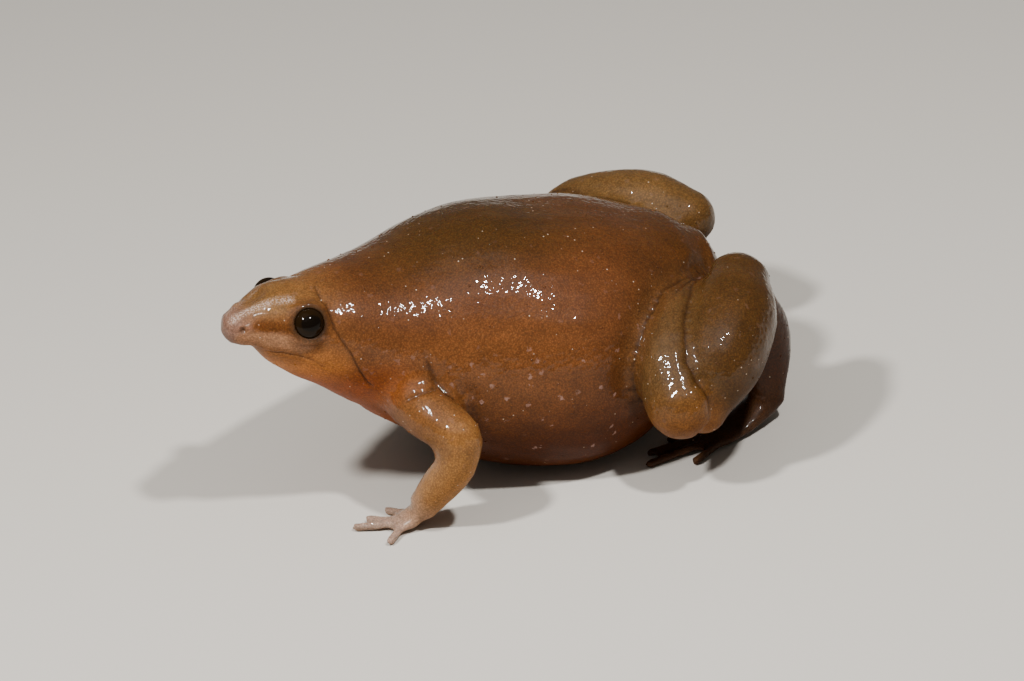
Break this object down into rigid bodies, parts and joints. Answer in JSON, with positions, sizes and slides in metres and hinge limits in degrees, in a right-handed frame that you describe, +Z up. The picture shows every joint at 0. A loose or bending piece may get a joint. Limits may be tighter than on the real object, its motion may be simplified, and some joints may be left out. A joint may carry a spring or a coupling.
{
  "type": "burrowing frog figure",
  "caption": "Life-size still model of a small plump burrowing frog, pointed snout raised, belly on the ground and hind legs folded at its sides.",
  "frame": {"origin": "middle of the bounding box at floor level, under the belly", "axes": "+X towards the rump, -X towards the snout, +Y to the frog's own right, +Z up"},
  "size_m": [0.0316, 0.0244, 0.0144],
  "materials": {
    "head": "wet skin, tan",
    "torso": "wet skin, chestnut brown",
    "eye_left": "glossy, black",
    "eye_right": "glossy, black",
    "upper_arm_left": "wet skin, tan",
    "forearm_left": "wet skin, tan",
    "hand_left": "wet skin, pinkish",
    "thigh_left": "wet skin, olive brown",
    "shank_left": "wet skin, olive brown",
    "tarsus_left": "wet skin, olive brown",
    "foot_left": "wet skin, olive brown",
    "upper_arm_right": "wet skin, tan",
    "forearm_right": "wet skin, tan",
    "hand_right": "wet skin, pinkish",
    "thigh_right": "wet skin, olive brown",
    "shank_right": "wet skin, olive brown",
    "tarsus_right": "wet skin, olive brown",
    "foot_right": "wet skin, olive brown"
  },
  "bodies": {
    "root": {"head": "head", "torso": "torso", "eye_left": "eye_left", "eye_right": "eye_right", "upper_arm_left": "upper_arm_left", "forearm_left": "forearm_left", "hand_left": "hand_left", "thigh_left": "thigh_left", "shank_left": "shank_left", "tarsus_left": "tarsus_left", "foot_left": "foot_left", "upper_arm_right": "upper_arm_right", "forearm_right": "forearm_right", "hand_right": "hand_right", "thigh_right": "thigh_right", "shank_right": "shank_right", "tarsus_right": "tarsus_right", "foot_right": "foot_right"}
  },
  "joints": []
}
